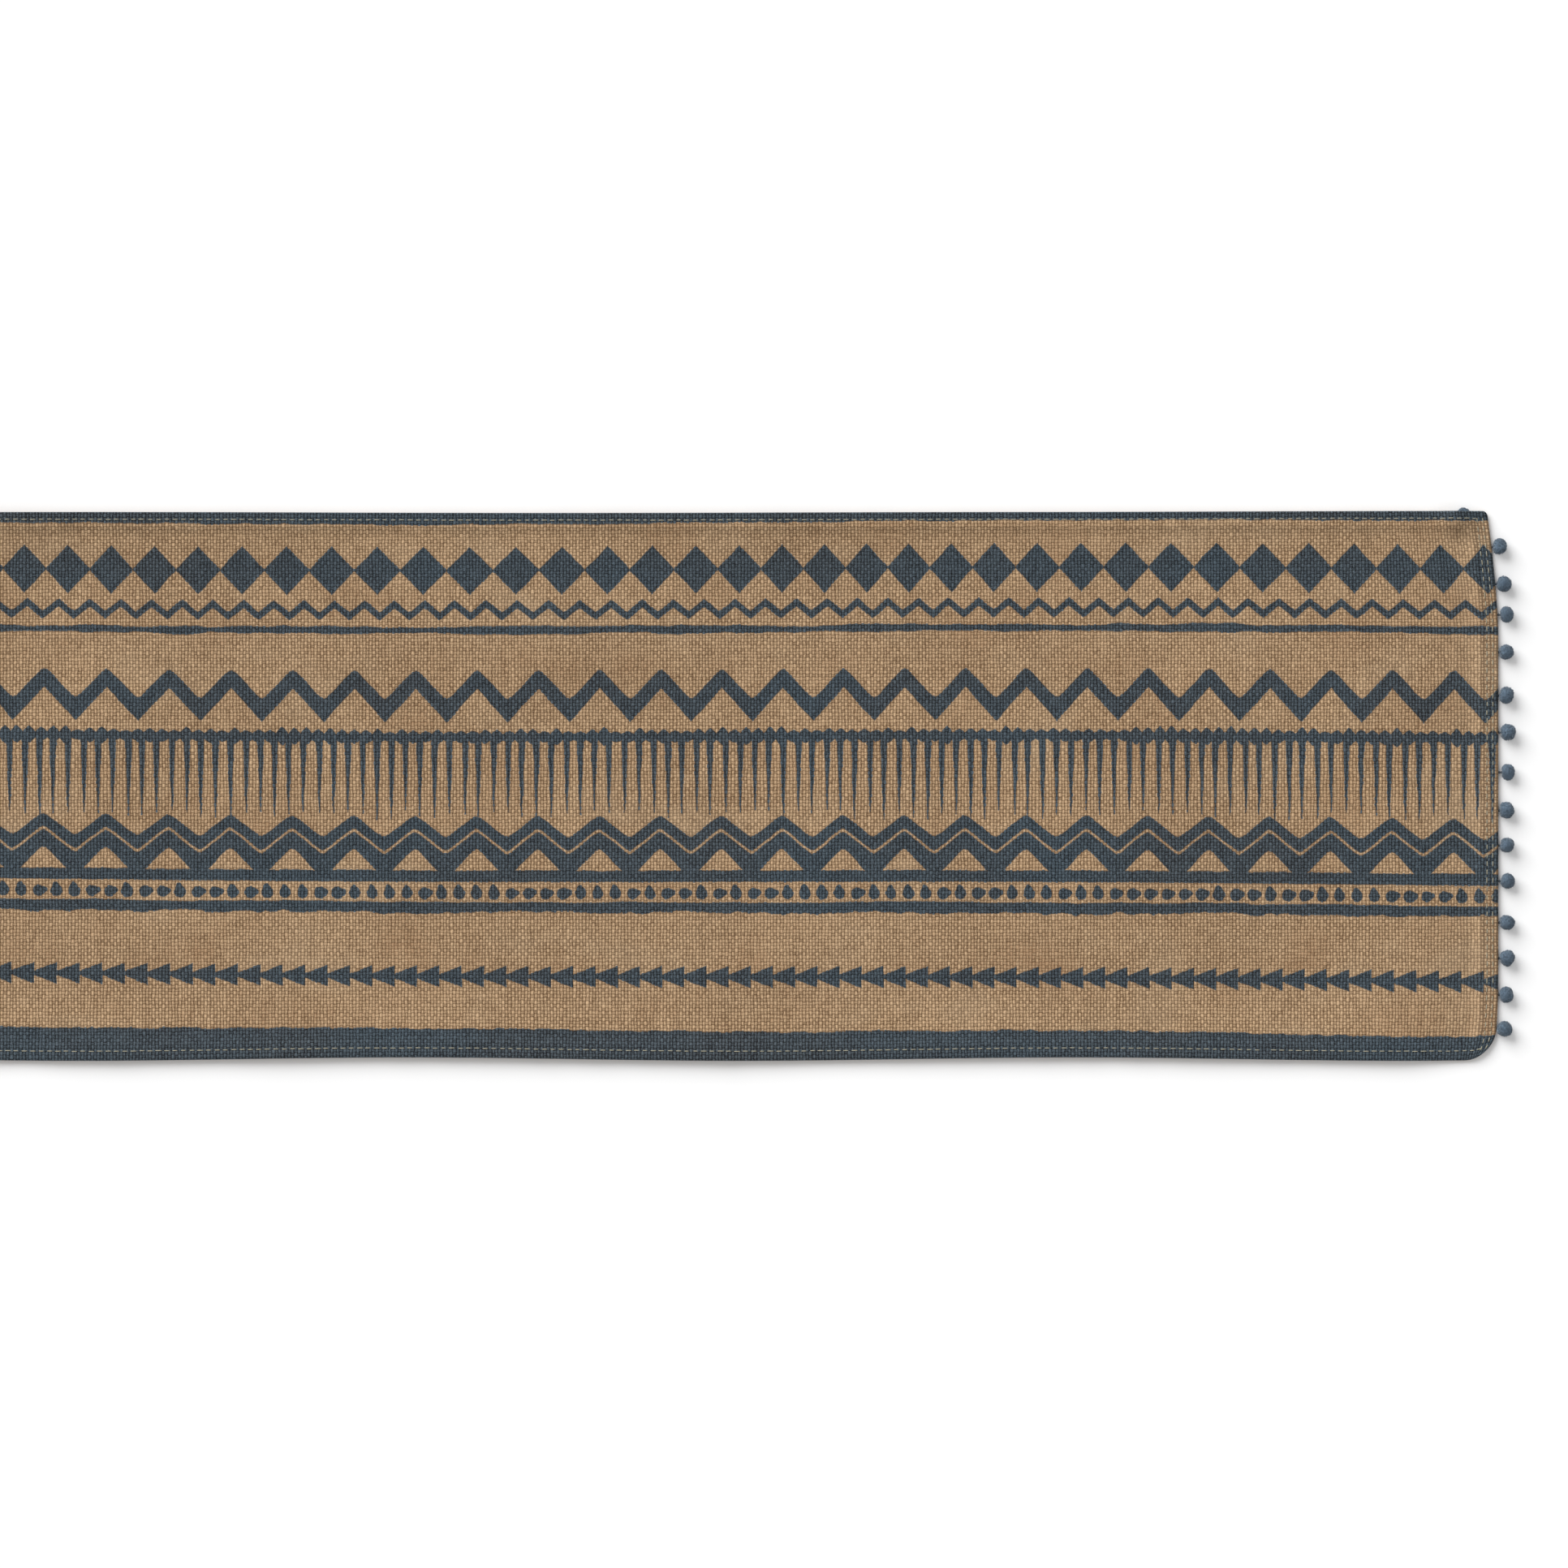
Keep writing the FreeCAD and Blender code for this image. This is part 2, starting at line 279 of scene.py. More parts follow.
# ------------------------------------------------------------------ shader arithmetic
class Shade:
    """A number in a node tree, with the usual arithmetic."""

    def __init__(self, tree, source):
        self.tree = tree
        self.source = source

    def node(self, operation, *inputs, clamp=False):
        math_node = self.tree.nodes.new("ShaderNodeMath")
        math_node.operation = operation
        math_node.use_clamp = clamp
        for index, value in enumerate((self,) + inputs):
            if isinstance(value, Shade):
                self.tree.links.new(value.source, math_node.inputs[index])
            else:
                math_node.inputs[index].default_value = value
        return Shade(self.tree, math_node.outputs[0])

    def __add__(self, other):
        return self.node("ADD", other)

    __radd__ = __add__

    def __sub__(self, other):
        return self.node("SUBTRACT", other)

    def __rsub__(self, other):
        return self * -1.0 + other

    def __mul__(self, other):
        return self.node("MULTIPLY", other)

    __rmul__ = __mul__

    def __truediv__(self, other):
        return self.node("DIVIDE", other)

    def __abs__(self):
        return self.node("ABSOLUTE")

    def __pow__(self, power):
        return self.node("POWER", power)

    def cos(self):
        return self.node("COSINE")

    def sin(self):
        return self.node("SINE")

    def arccos(self):
        return self.node("ARCCOSINE")

    def sqrt(self):
        return self.node("SQRT")

    def floor(self):
        return self.node("FLOOR")

    def fraction(self):
        return self.node("FRACT")

    def min(self, other):
        return self.node("MINIMUM", other)

    def max(self, other):
        return self.node("MAXIMUM", other)

    def clamped(self):
        """Held between 0 and 1."""
        return self.node("ADD", 0.0, clamp=True)

    def ramp(self, low, high):
        """0 at low and 1 at high, in a straight line."""
        return ((self - low) / (high - low)).clamped()


class Material:
    """A node material with a Principled shader and shorthand for its textures."""

    def __init__(self, name, roughness, sheen=0.0, sheen_roughness=0.5, specular=0.3):
        self.material = bpy.data.materials.new(name)
        self.material.use_nodes = True
        self.tree = self.material.node_tree
        self.shader = self.tree.nodes["Principled BSDF"]
        self.shader.inputs["Roughness"].default_value = roughness
        self.shader.inputs["Sheen Weight"].default_value = sheen
        self.shader.inputs["Sheen Roughness"].default_value = sheen_roughness
        self.shader.inputs["Specular IOR Level"].default_value = specular

    def link(self, value, socket):
        """Feed a socket from a node, or set it to a plain number."""
        if isinstance(value, Shade):
            self.tree.links.new(value.source, socket)
        else:
            socket.default_value = value

    def uv(self):
        """u and v of the cloth, in metres."""
        source = self.tree.nodes.new("ShaderNodeUVMap")
        source.uv_map = "cloth"
        split = self.tree.nodes.new("ShaderNodeSeparateXYZ")
        self.tree.links.new(source.outputs[0], split.inputs[0])
        return Shade(self.tree, split.outputs[0]), Shade(self.tree, split.outputs[1])

    def object_place(self):
        """x, y and z in the object, in metres."""
        source = self.tree.nodes.new("ShaderNodeTexCoord")
        split = self.tree.nodes.new("ShaderNodeSeparateXYZ")
        self.tree.links.new(source.outputs["Object"], split.inputs[0])
        return [Shade(self.tree, split.outputs[axis]) for axis in range(3)]

    def vector(self, x, y=0.0, z=0.0):
        join = self.tree.nodes.new("ShaderNodeCombineXYZ")
        for index, value in enumerate((x, y, z)):
            self.link(value, join.inputs[index])
        return join.outputs[0]

    def noise(self, x, y=0.0, z=0.0, detail=2.0):
        """Smooth noise about -1 to 1; its features are about one unit across."""
        texture = self.tree.nodes.new("ShaderNodeTexNoise")
        texture.inputs["Scale"].default_value = 1.0
        texture.inputs["Detail"].default_value = detail
        self.tree.links.new(self.vector(x, y, z), texture.inputs["Vector"])
        return Shade(self.tree, texture.outputs["Fac"]) * 2.6 - 1.3

    def dice(self, x, y=0.0):
        """A random number from 0 to 1 for each whole number."""
        texture = self.tree.nodes.new("ShaderNodeTexWhiteNoise")
        texture.noise_dimensions = "2D"
        self.tree.links.new(self.vector(x, y), texture.inputs["Vector"])
        return Shade(self.tree, texture.outputs["Value"])

    def mix(self, share, first, second):
        """A colour between two colours."""
        node = self.tree.nodes.new("ShaderNodeMix")
        node.data_type = "RGBA"
        self.link(share, node.inputs[0])
        for colour, socket in ((first, node.inputs[6]), (second, node.inputs[7])):
            if isinstance(colour, tuple):
                socket.default_value = (*colour, 1.0)
            else:
                self.tree.links.new(colour, socket)
        return node.outputs[2]

    def paint(self, colour):
        self.tree.links.new(colour, self.shader.inputs["Base Color"])

    def relief(self, height, distance, strength=1.0):
        """Fine relief, too small for the mesh."""
        node = self.tree.nodes.new("ShaderNodeBump")
        node.inputs["Strength"].default_value = strength
        node.inputs["Distance"].default_value = distance
        self.link(height, node.inputs["Height"])
        self.tree.links.new(node.outputs[0], self.shader.inputs["Normal"])


# ------------------------------------------------------------------ the print
PRINT_REPEAT = 514 * MM         # the pattern is printed in lengths of this size
PRINT_START = 234.4 * MM        # where one length of the pattern begins


def repeat_phase(u, start, count, warp=0.0, half_warp=0.0):
    """Which motif of a row, and where in it: 0 at its middle, -0.5 and 0.5 at its ends.

    count motifs fill one length of the print; a motif's middle is at start.
    """
    along = (u - start) / PRINT_REPEAT
    if warp:
        along = along - (along * FULL_TURN).sin() * (warp / PRINT_REPEAT)
    if half_warp:
        along = along - (along.fraction() * math.pi).sin() * (half_warp / PRINT_REPEAT)
    turns = along * count
    index = (turns + 0.5).floor()
    return index, turns - index


def zigzag(phase, sharpness):
    """0 at a motif's middle and 1 at its ends; below 1, sharpness rounds both."""
    tip = math.acos(sharpness) / math.pi
    wave = ((phase * FULL_TURN).cos() * sharpness).arccos() / math.pi
    return (wave - tip) / (1 - 2 * tip)


def band(v, upper, lower):
    """Signed distance into the strip between two heights."""
    return (upper - v).min(v - lower)


def printed_distance(m, u, v):
    """How far a point is inside the printed pattern; negative outside it."""
    drift = ((u + 0.057) / 0.957).clamped()
    drift = drift * drift * (drift * -2.0 + 3.0) * (7 * MM)
    v = v + drift * ((HALF_WIDTH - v) / (2 * HALF_WIDTH))
    v = v - ((u - 0.42) * (2 * math.pi / 0.95)).sin() * (1.4 * MM)

    # Just right of the runner's middle, the cloth was a little stretched when it was printed.
    early = 1.0 - u.ramp(-0.05, 0.25)
    u = u + early * early * (4.5 * MM) - u.ramp(0.20, 0.35) * (1.0 * MM)

    # The block was cut by hand, so every outline wobbles.
    wobble_u = m.noise(u / 0.012, v / 0.012, 3.0) * (0.55 * MM)
    wobble_v = m.noise(u / 0.012, v / 0.012, 9.0) * (0.55 * MM)
    u = u + wobble_u
    v = v + wobble_v
    slow = m.noise(u / 0.030, 1.5, detail=1.0)
    slower = m.noise(u / 0.038, 7.5, detail=1.0)
    quick = m.noise(u / 0.009, 4.5, detail=1.0)
    ragged = m.noise(u / 0.0045, v / 0.0045, 2.5, detail=1.0)

    # Narrow stripe on the back edge.
    printed = v - 171.3 * MM - (slow * 0.8 + quick * 0.8 + ragged * 0.5) * (0.9 * MM)

    # Diamonds, point to point.
    pitch = PRINT_REPEAT / 18
    _, phase = repeat_phase(u, PRINT_START + pitch / 2 - 1.0 * MM, 18, warp=3.6 * MM)
    across = abs(phase) * pitch
    height = 15.5 * MM + slower * (0.5 * MM)
    diamond = height * (1.03 - across / (pitch / 2)) - abs(v - 140.3 * MM)
    printed = printed.max(diamond * 0.7)

    # Thin zigzag.
    _, phase = repeat_phase(u, 238.0 * MM, 26, half_warp=3.7 * MM)
    centre = 118.0 * MM - zigzag(phase, 0.985) * (7.4 * MM)
    printed = printed.max((2.5 * MM - abs(v - centre)) * 0.85)

    # Thin wavy line.
    centre = 101.4 * MM + slower * (0.8 * MM)
    half_width = (slow + quick * 0.6 + ragged * 0.3) * (1.1 * MM) + 2.1 * MM
    printed = printed.max(half_width - abs(v - centre))

    # Broad zigzag: soft above, sharp below.
    _, phase = repeat_phase(u, 252.6 * MM, 13)
    upper = 75.2 * MM - zigzag(phase, 0.955) * (18.1 * MM)
    lower = 63.6 * MM - zigzag(phase, 0.9995) * (21.4 * MM)
    printed = printed.max(band(v, upper, lower) * 0.75)

    # String of beads.
    index, phase = repeat_phase(u, 4.5 * MM, 67)
    bead = ((phase * math.pi).cos() + 1.0 - abs(phase) * 2.0) * (0.25 + 0.5 * m.dice(index, 2.5))
    upper = 34.4 * MM + bead * (2.9 * MM)
    lower = 30.4 * MM - bead * (2.6 * MM)
    printed = printed.max(band(v, upper, lower) + ragged * (0.2 * MM))

    # Long spikes that hang from the beads.
    pitch = 9.37 * MM
    turns = (u + 55.6 * MM) / pitch
    index = (turns + 0.5).floor()
    tip = -21.5 * MM + m.dice(index, 5.5) * (6.5 * MM)
    sway = (m.dice(index, 8.5) - 0.5) * (1.3 * MM)
    width = ((v - tip) / (50 * MM)) * (2.0 * MM) + 0.25 * MM
    spike = width - abs((turns - index) * pitch + sway)
    printed = printed.max(spike.min(v - tip).min(31 * MM - v))

    # Double zigzag with a fine bare line through it, and bare triangles under it.
    _, phase = repeat_phase(u, 252.0 * MM, 13)
    line = -28.1 * MM - zigzag(phase, 0.972) * (13.9 * MM)
    half_gap = 1.1 * MM
    upper = -18.8 * MM - zigzag(phase, 0.955) * (13.3 * MM)
    printed = printed.max(band(v, upper, line + half_gap) * 0.8)
    triangle = -40.2 * MM - zigzag(phase, 0.955) * (17.8 * MM)
    printed = printed.max(band(v, line - half_gap, triangle) * 0.8)

    # Bar under the triangles.
    printed = printed.max(band(v, -53.9 * MM + (quick + ragged) * (0.5 * MM), -61.1 * MM))

    # Drops, each with its point turned up or to a side.
    pitch = 11.19 * MM
    turns = (u + 50.1 * MM) / pitch
    index = (turns + 0.5).floor()
    across = (turns - index) * pitch
    up = v + 68.6 * MM
    radius = (across * across + up * up).sqrt() + 0.01 * MM
    turn = (m.dice(index, 3.5) * 2.0).floor() * (math.pi / 2) - 0.15
    toward = ((across * turn.sin() + up * turn.cos()) / radius).max(0.0)
    size = 3.45 * MM + m.dice(index, 6.5) * (0.45 * MM)
    printed = printed.max(size + (toward ** 9.0) * (2.0 * MM) - radius)

    # Uneven bar under the drops.
    upper = -74.3 * MM + (slower + quick * 0.5) * (1.0 * MM)
    lower = -81.0 * MM + (slow + quick * 0.9 + ragged * 0.6) * (1.5 * MM)
    printed = printed.max(band(v, upper, lower))

    # Arrowheads in a chain.
    turns = (u - 256.9 * MM) / (14.38 * MM)
    grow = turns.fraction()
    arrow = 1.35 * MM + grow * (5.6 * MM) - abs(v + 122.2 * MM)
    printed = printed.max(arrow * 0.9)

    # Broad band on the front edge.
    edge = -156.2 * MM + (slow * 0.7 + quick * 0.8 + ragged * 0.8) * (0.9 * MM)
    return printed.max(edge - v)


# ------------------------------------------------------------------ materials
# Jute light, middle and dark span the yarns' own tones, and also painted shade and painted highlight
# on the weave.
JUTE_LIGHT = (0.560, 0.385, 0.230)
JUTE_MIDDLE = (0.300, 0.197, 0.112)
JUTE_DARK = (0.105, 0.056, 0.026)
JUTE_FADED = (0.370, 0.280, 0.185)
JUTE_RUSSET = (0.250, 0.135, 0.068)
# Ink light and dark span the ink's own speckle, and also painted shade and painted highlight on the
# weave.
INK_LIGHT = (0.074, 0.108, 0.136)
INK_DARK = (0.004, 0.007, 0.010)
THREAD_DARK = (0.22, 0.20, 0.14)
THREAD_LIGHT = (0.46, 0.43, 0.32)
TAPE_DARK = (0.030, 0.045, 0.065)
TAPE_LIGHT = (0.075, 0.110, 0.150)
POMPOM_DARK = (0.026, 0.046, 0.072)
POMPOM_LIGHT = (0.155, 0.212, 0.272)
# The tie is coloured far darker than the ball: painted shade of the neck where the tie goes in.
TIE_DARK = (0.012, 0.017, 0.026)
TIE_LIGHT = (0.040, 0.055, 0.075)


def weave(m, u, v):
    """Plain weave: its height from 0 to 1, and tones from -1 to 1 of each crossing and yarn; a
    crossing's tone also holds a painted highlight where the warp lies on top.
    """
    along = u / YARN_PITCH
    across = v / YARN_PITCH
    along = along + m.noise(u / (5 * MM), v / (16 * MM), 2.0) * 0.34
    across = across + m.noise(u / (16 * MM), v / (5 * MM), 5.0) * 0.34
    along = along + m.noise(u / (1.6 * MM), v / (2.6 * MM), 3.0) * 0.16
    across = across + m.noise(u / (2.6 * MM), v / (1.6 * MM), 6.0) * 0.16
    wave_u = (along * math.pi).sin()
    wave_v = (across * math.pi).sin()
    over = wave_u * wave_v
    warp = (abs(wave_u) ** 0.42) * (0.70 + 0.30 * over)
    weft = (abs(wave_v) ** 0.42) * (0.66 - 0.30 * over)
    height = warp.max(weft)
    on_top = (warp - weft).ramp(-0.08, 0.08)
    warp_tone = m.noise(along.floor() * 0.73, v / (45 * MM), 1.0, detail=1.0)
    weft_tone = m.noise(across.floor() * 0.73, u / (45 * MM), 8.0, detail=1.0)
    tone = on_top * warp_tone + (1.0 - on_top) * weft_tone
    # Random tone of each crossing, plus a painted highlight on the crossings where the warp lies on
    # top.
    crossing_tone_and_painted_highlight = m.dice(along.floor() + 0.5, across.floor() + 0.5) * 2.0 - 1.0 + (on_top - 0.5) * 1.7
    return height, crossing_tone_and_painted_highlight, tone


def cloth_material(name, ink_share):
    """Jute burlap; ink_share is 1 on the printed face and near 0 on the back."""
    m = Material(name, roughness=0.92, sheen=0.04, sheen_roughness=0.6, specular=0.1)
    u, v = m.uv()
    height, crossing_tone_and_painted_highlight, tone = weave(m, u, v)
    fibres = m.noise(u / (0.8 * MM), v / (0.8 * MM), 4.0, detail=3.0)
    # Broad light and dark clouds: random tone of the jute, and painted shade of gentle wrinkles.
    cloudy_tone_and_wrinkle_shade = m.noise(u / 0.11, v / 0.11, 6.0)
    hem = (abs(u) - (HALF_LENGTH - END_HEM)).ramp(0.0, 1.0 * MM)
    # Painted shade: on the end hem the gaps between yarns are darkened further.
    painted_shade_in_hem_gaps = (1.0 - height).max(0.0) * hem * 0.8
    # Brightness of the jute: the weave's height paints shade in the gaps between yarns and highlight
    # on their tops, over the yarns' own tones.
    jute_tone_and_painted_shade = (height - 0.74) * 1.5 + crossing_tone_and_painted_highlight * 0.12 + tone * 0.12 + fibres * 0.28
    jute_tone_and_painted_shade = jute_tone_and_painted_shade + cloudy_tone_and_wrinkle_shade * 0.09 + 0.54 - painted_shade_in_hem_gaps
    jute = m.mix(jute_tone_and_painted_shade.ramp(0.0, 0.5), JUTE_DARK, JUTE_MIDDLE)
    jute = m.mix(jute_tone_and_painted_shade.ramp(0.5, 1.0), jute, JUTE_LIGHT)
    faded = m.noise(u / 0.060, v / 0.045, 8.0, detail=3.0)
    # The jute turns paler over the last few centimetres towards each end.
    paler_near_ends = (abs(u) - (HALF_LENGTH - 48 * MM)).ramp(0.0, 40 * MM) * 0.18
    jute = m.mix(faded.ramp(0.1, 1.0) * 0.35 + paler_near_ends, jute, JUTE_FADED)
    russet = faded * -1.0 + crossing_tone_and_painted_highlight * 0.25 - tone * 0.4
    jute = m.mix(russet.ramp(0.2, 1.1) * 0.50, jute, JUTE_RUSSET)

    distance = printed_distance(m, u, v)
    rough = (height - 0.5) * (0.6 * MM) + fibres * (0.35 * MM) + crossing_tone_and_painted_highlight * (0.15 * MM)
    inked = (distance + rough).ramp(-0.22 * MM, 0.22 * MM)
    bare = fibres.ramp(0.9, 1.4)
    worn = (1.0 - bare * 0.7) * (0.965 + cloudy_tone_and_wrinkle_shade * 0.03)
    # Brightness of the ink: the weave's height paints shade in the gaps and highlight on yarn tops,
    # with the ink's own fibre speckle.
    ink_tone_and_painted_shade = (height - 0.74) * 1.3 + crossing_tone_and_painted_highlight * 0.11 + fibres * 0.50 + cloudy_tone_and_wrinkle_shade * 0.10 + 0.44
    ink = m.mix(ink_tone_and_painted_shade.clamped(), INK_DARK, INK_LIGHT)
    m.paint(m.mix(inked * worn * ink_share, jute, ink))
    m.relief(height + fibres * 0.08, distance=0.5 * MM, strength=0.7)
    return m.material


def thread_material():
    """Pale sewing thread, with painted shade between its plies."""
    m = Material("sewing_thread", roughness=0.75, sheen=0.2, specular=0.3)
    x, y, z = m.object_place()
    ply = m.noise(x / (0.35 * MM), y / (0.35 * MM), z / (0.35 * MM))
    # Painted shade: the colour follows the ply relief, darker in its hollows.
    m.paint(m.mix(ply.ramp(-0.8, 0.8), THREAD_DARK, THREAD_LIGHT))
    m.relief(ply, distance=0.08 * MM)
    return m.material


def tape_material():
    """Narrow woven tape with a rib along it; the rib also paints shade in its hollows and highlight
    on its ridges.
    """
    m = Material("trim_tape", roughness=0.85, sheen=0.3)
    u, v = m.uv()
    rib = (u * (FULL_TURN / (1.2 * MM))).sin() * (v * (FULL_TURN / (1.0 * MM))).sin()
    tone = m.noise(u / (2 * MM), v / (6 * MM))
    # Painted shade and highlight: the colour follows the rib's relief, with the tape's own tone.
    m.paint(m.mix((rib * 0.25 + tone * 0.2 + 0.5).clamped(), TAPE_DARK, TAPE_LIGHT))
    m.relief(rib, distance=0.12 * MM)
    return m.material


def yarn_material(name, dark, light, grain):
    """Clipped yarn: fine streaks, with a soft bloom where light grazes it."""
    m = Material(name, roughness=0.95, sheen=0.35, sheen_roughness=0.45, specular=0.1)
    x, y, z = m.object_place()
    tuft = m.noise(x / grain, y / grain, z / grain, detail=3.0)
    broad = m.noise(x / (4 * MM), y / (4 * MM), z / (4 * MM))
    m.paint(m.mix((tuft * 0.35 + broad * 0.15 + 0.5).clamped(), dark, light))
    m.relief(tuft, distance=0.25 * MM, strength=0.8)
    return m.material


FACE = cloth_material("jute_printed_face", ink_share=1.0)
BACK = cloth_material("jute_back", ink_share=0.10)
THREAD = thread_material()
TAPE_CLOTH = tape_material()
YARN = yarn_material("pompom_yarn", POMPOM_DARK, POMPOM_LIGHT, grain=0.9 * MM)
TIE_YARN = yarn_material("pompom_tie", TIE_DARK, TIE_LIGHT, grain=0.5 * MM)


# ------------------------------------------------------------------ the cloth
CUT_ROW = 0.03 * MM             # from a cut to the fine row of faces beside it
ON_EDGE = 1e-7                  # nearer the edge than this is on it
# Distances in from a hem's edge: closest where the edge is round.
HEM_STEPS = np.array([0.0, 0.06, 0.22, 0.5, 0.85, 1.2, 1.8, 2.6,
                      3.5, 4.4, 5.3, 6.3, 7.4, 8.5, 9.3, 9.9]) * MM


def across_lines():
    """Grid lines across the cloth, close together on the hems."""
    inner = HALF_WIDTH - SIDE_HEM
    field = np.linspace(-inner + 0.08 * MM, inner - 0.08 * MM, 121)
    back = HALF_WIDTH - HEM_STEPS[::-1]
    return np.concatenate([-back[::-1], field, back])


def along_lines(low, high):
    """Grid lines along the cloth: two to a stitch, and closer on an end hem."""
    count = round((high - low) / (STITCH_PITCH / 2))
    lines = np.linspace(low, high, count + 1)
    # A fine row by each cut keeps the shading of the face free of the cut's own faces.
    lines = np.sort(np.append(lines, (low + CUT_ROW, high - CUT_ROW)))
    end_lines = HALF_LENGTH - np.append(HEM_STEPS[:-1], (11.0 * MM, 11.92 * MM, 12.08 * MM))
    inside = HALF_LENGTH - END_HEM - 1.2 * MM
    lines = lines[np.abs(lines) < inside]
    if high > inside:
        lines = np.append(lines, end_lines[::-1])
    if low < -inside:
        lines = np.append(-end_lines, lines)
    return lines


def cloth_piece(name, low, high):
    """A length of the runner, from u = low to high: both faces, closed at the hems."""
    u_lines = along_lines(low, high)
    v_lines = across_lines()
    u, v = np.meshgrid(u_lines, v_lines, indexing="ij")
    x, y = outline(u, v)
    top, bottom = cloth_faces(u, v)
    rows, columns = u.shape
    upper = np.stack([x, y, top], axis=-1).reshape(-1, 3)
    lower = np.stack([x, y, bottom], axis=-1).reshape(-1, 3)
    rim = (np.abs(v) > HALF_WIDTH - ON_EDGE) | (np.abs(u) > HALF_LENGTH - ON_EDGE)
    rim = rim.ravel()
    count = rows * columns
    lower_index = np.arange(count)
    lower_index[~rim] = count + np.arange((~rim).sum())
    vertices = np.concatenate([upper, lower[~rim]])
    upper_faces = grid_faces(rows, columns)
    lower_faces = lower_index[grid_faces(rows, columns, flip=True)]
    plan = np.stack([u.ravel(), v.ravel()], axis=-1)
    uv = np.concatenate([plan, plan[~rim]])
    # Close the piece where it is cut off from the next length of cloth.
    index = np.arange(count).reshape(rows, columns)
    caps = []
    for row, at, flip in ((index[0], low, False), (index[-1], high, True)):
        if abs(at) < HALF_LENGTH - ON_EDGE:
            cap = np.stack([row[:-1], row[1:], lower_index[row[1:]], lower_index[row[:-1]]], axis=-1)
            caps.append(cap[:, ::-1] if flip else cap)
    caps = [tuple(dict.fromkeys(face)) for face in np.concatenate(caps).tolist()]
    faces = np.concatenate([upper_faces, lower_faces]).tolist() + caps
    side = np.repeat([0, 1, 1], [len(upper_faces), len(lower_faces), len(caps)])
    cap_numbers = np.arange(len(faces) - len(caps), len(faces))
    piece = add_object(name, vertices, faces, [FACE, BACK], uv=uv, face_material=side,
                       flat_faces=cap_numbers)
    return piece


def bend_with_end(piece, side):
    """Bakes the piece's placement into its mesh."""
    side * FOLD_X
    side * (FOLD_X + FOLD_BEND)
    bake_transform(piece)


SIDES = (("right", 1), ("left", -1))
HALF_PIECE = HALF_LENGTH / 2

for side_name, side in SIDES:
    inner_ends = sorted((0.0, side * HALF_PIECE))
    outer_ends = sorted((side * HALF_PIECE, side * HALF_LENGTH))
    middle = cloth_piece(f"cloth_middle_{side_name}", *inner_ends)
    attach(middle, "centre")
    if side > 0:
        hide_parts("cloth_centre", "hem_front_centre")
    else:
        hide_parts("hem_back_centre")
    outer = cloth_piece(f"cloth_end_{side_name}", *outer_ends)
    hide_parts(f"cloth_{side_name}", f"hem_back_{side_name}",
                f"hem_front_{side_name}", f"hem_end_{side_name}")
    bend_with_end(outer, side)


# ------------------------------------------------------------------ the stitches
def stitch_row(name, points_of, low, high):
    """A row of stitches; points_of(s, height) gives the points at s along the seam."""
    rng = np.random.default_rng(sum(map(ord, name)))
    sections = 5
    ring = 6
    vertices, faces = [], []
    numbers = np.arange(math.ceil(low / STITCH_PITCH), math.floor(high / STITCH_PITCH))
    starts = numbers * STITCH_PITCH
    angles = np.arange(ring) * 2 * math.pi / ring
    for start in starts:
        length = STITCH_LENGTH * rng.uniform(0.88, 1.08)
        first = start + (STITCH_PITCH - length) / 2 + rng.uniform(-0.25, 0.25) * MM
        s = first + length * np.linspace(0, 1, sections)
        arch = np.sin(math.pi * np.linspace(0.04, 0.96, sections))
        centre = points_of(s, (0.28 * arch - rng.uniform(0.08, 0.24)) * MM)
        forward = centre[-1] - centre[0]
        forward = forward / np.linalg.norm(forward)
        sideways = np.cross([0, 0, 1], forward)
        sideways = sideways / np.linalg.norm(sideways)
        centre = centre + sideways * rng.uniform(-0.12, 0.12) * MM
        thick = (0.11 + 0.13 * arch ** 0.5) * MM
        base = len(vertices)
        for point, radius in zip(centre, thick):
            for angle in angles:
                offset = sideways * math.cos(angle) * 1.15
                offset = offset + np.array([0, 0, math.sin(angle) * 0.85])
                vertices.append(point + radius * offset)
        faces += tube_faces(base, sections, ring)
    row = add_object(name, vertices, faces, [THREAD])
    return row


def side_seam(seam_v):
    """Points along a seam at seam_v, beside a long edge."""
    return lambda s, height: on_cloth(s, np.full_like(s, seam_v), height)


def end_seam(side_u, inset):
    """Points along a seam across an end, inset from its edge."""
    seam_u = side_u * (HALF_LENGTH - inset)
    return lambda s, height: on_cloth(np.full_like(s, seam_u), s, height)


LONG_SEAMS = (("back", HALF_WIDTH - BACK_SEAM), ("front", FRONT_SEAM - HALF_WIDTH))

for edge_name, seam_v in LONG_SEAMS:
    row = stitch_row(f"stitches_{edge_name}_centre", side_seam(seam_v), -FOLD_X, FOLD_X)
    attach(row, "centre")
    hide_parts(f"seam_{edge_name}_centre")
    for side_name, side in SIDES:
        reach = HALF_LENGTH - 2 * MM
        ends = sorted((side * FOLD_X, side * reach))
        row = stitch_row(f"stitches_{edge_name}_{side_name}", side_seam(seam_v), *ends)
        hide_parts(f"seam_{edge_name}_{side_name}")
        bend_with_end(row, side)

for side_name, side in SIDES:
    for row_name, inset in zip(("outer", "inner"), END_SEAM_INSETS):
        reach = HALF_WIDTH - 3 * MM
        row = stitch_row(f"stitches_end_{row_name}_{side_name}", end_seam(side, inset), -reach, reach)
        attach(row, f"end_{side_name}")
        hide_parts(f"seam_end_{row_name}_{side_name}")


